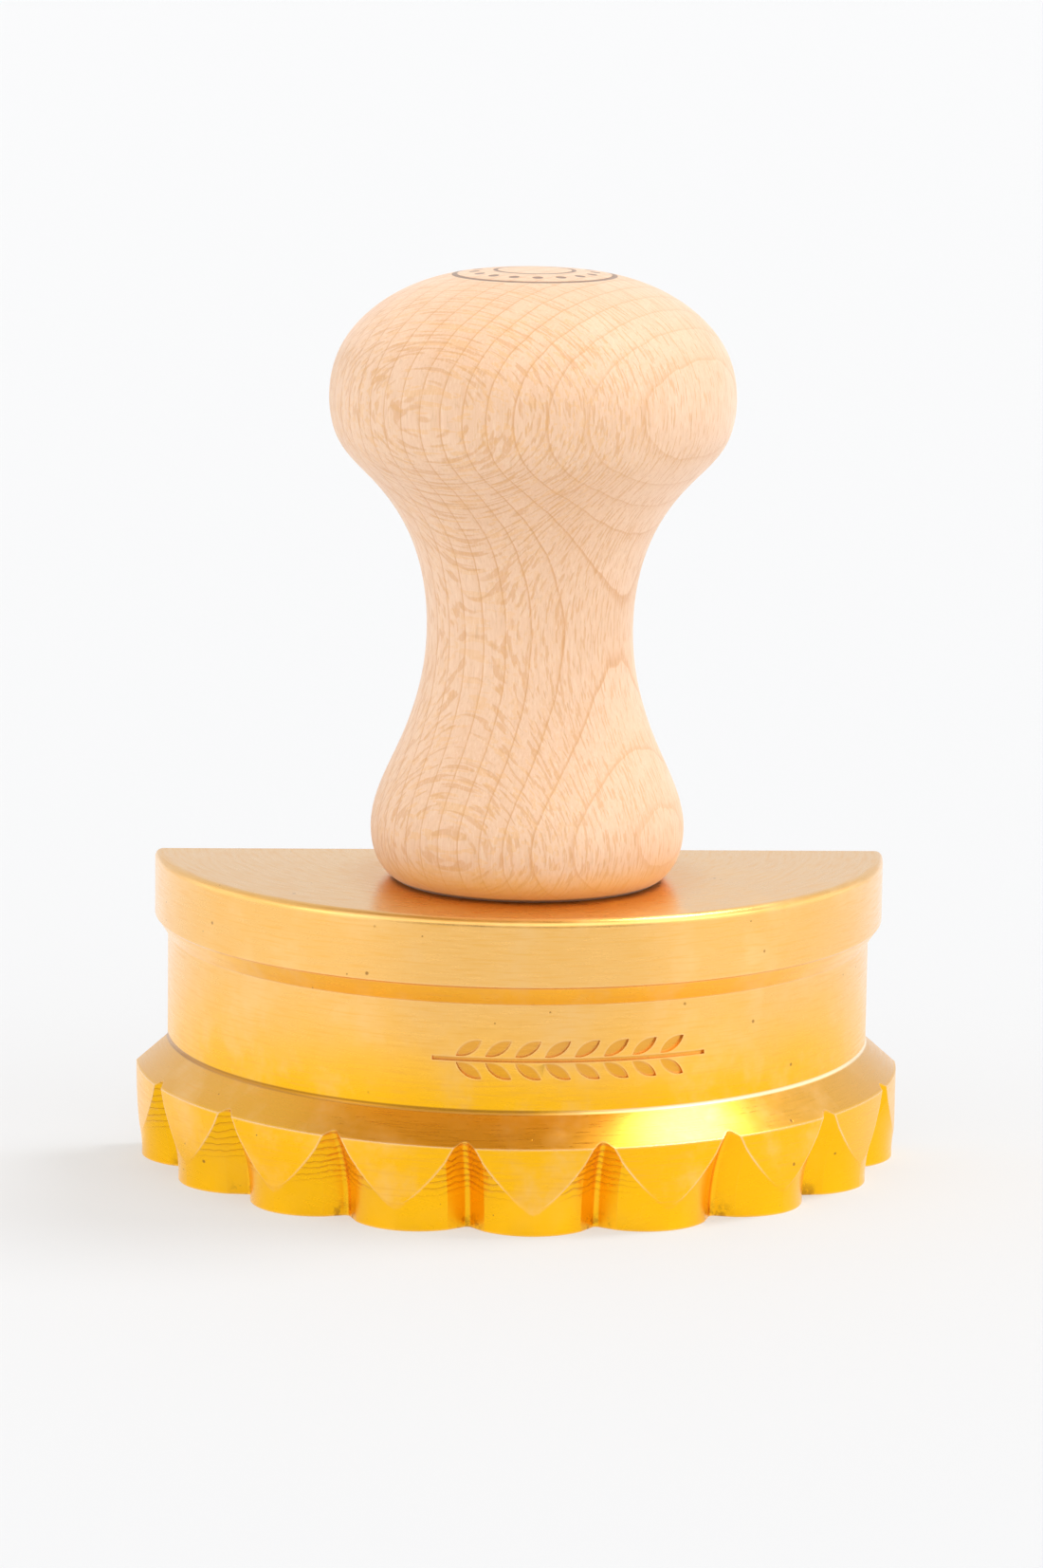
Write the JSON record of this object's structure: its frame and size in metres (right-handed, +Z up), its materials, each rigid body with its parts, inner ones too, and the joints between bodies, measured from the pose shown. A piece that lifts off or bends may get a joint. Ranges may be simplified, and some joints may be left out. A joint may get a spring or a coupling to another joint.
{
  "type": "half-moon pastry stamp",
  "caption": "Half-moon pastry and ravioli stamp: scalloped brass body, flat back, turned beech knob handle, and a sprung ejector plate inside.",
  "frame": {"origin": "centre of the bounding box on the plane that the cutting rim rests on", "axes": "+Z up the handle's axis, +Y out of the flat back, -Y towards the scalloped front, X across the half moon"},
  "size_m": [0.1054, 0.0584, 0.1233],
  "materials": {
    "turned_brass": "turned satin",
    "beech": "fine sanded, unvarnished",
    "zinc_steel": "bright zinc plated",
    "bronze_bush": "machined bearing bronze",
    "plate_brass": "milled satin",
    "stainless_rod": "ground stainless",
    "spring_steel": "drawn stainless wire"
  },
  "bodies": {
    "stamp": {"die_body": "turned_brass", "beech_handle": "beech", "handle_screws": "zinc_steel", "guide_bush": "bronze_bush", "return_spring": "spring_steel"},
    "ejector": {"ejector_plate": "plate_brass", "ejector_stem": "stainless_rod", "stop_washer": "zinc_steel", "stem_lock_nut": "zinc_steel"}
  },
  "joints": [
    {"name": "ejector_slide", "type": "slide", "parent": "stamp", "child": "ejector", "axis": [0, 0, 1], "range_m": [0, 0.01], "stiffness_N_per_m": 1900, "springref_m": -0.005, "deforming": ["return_spring"]}
  ]
}
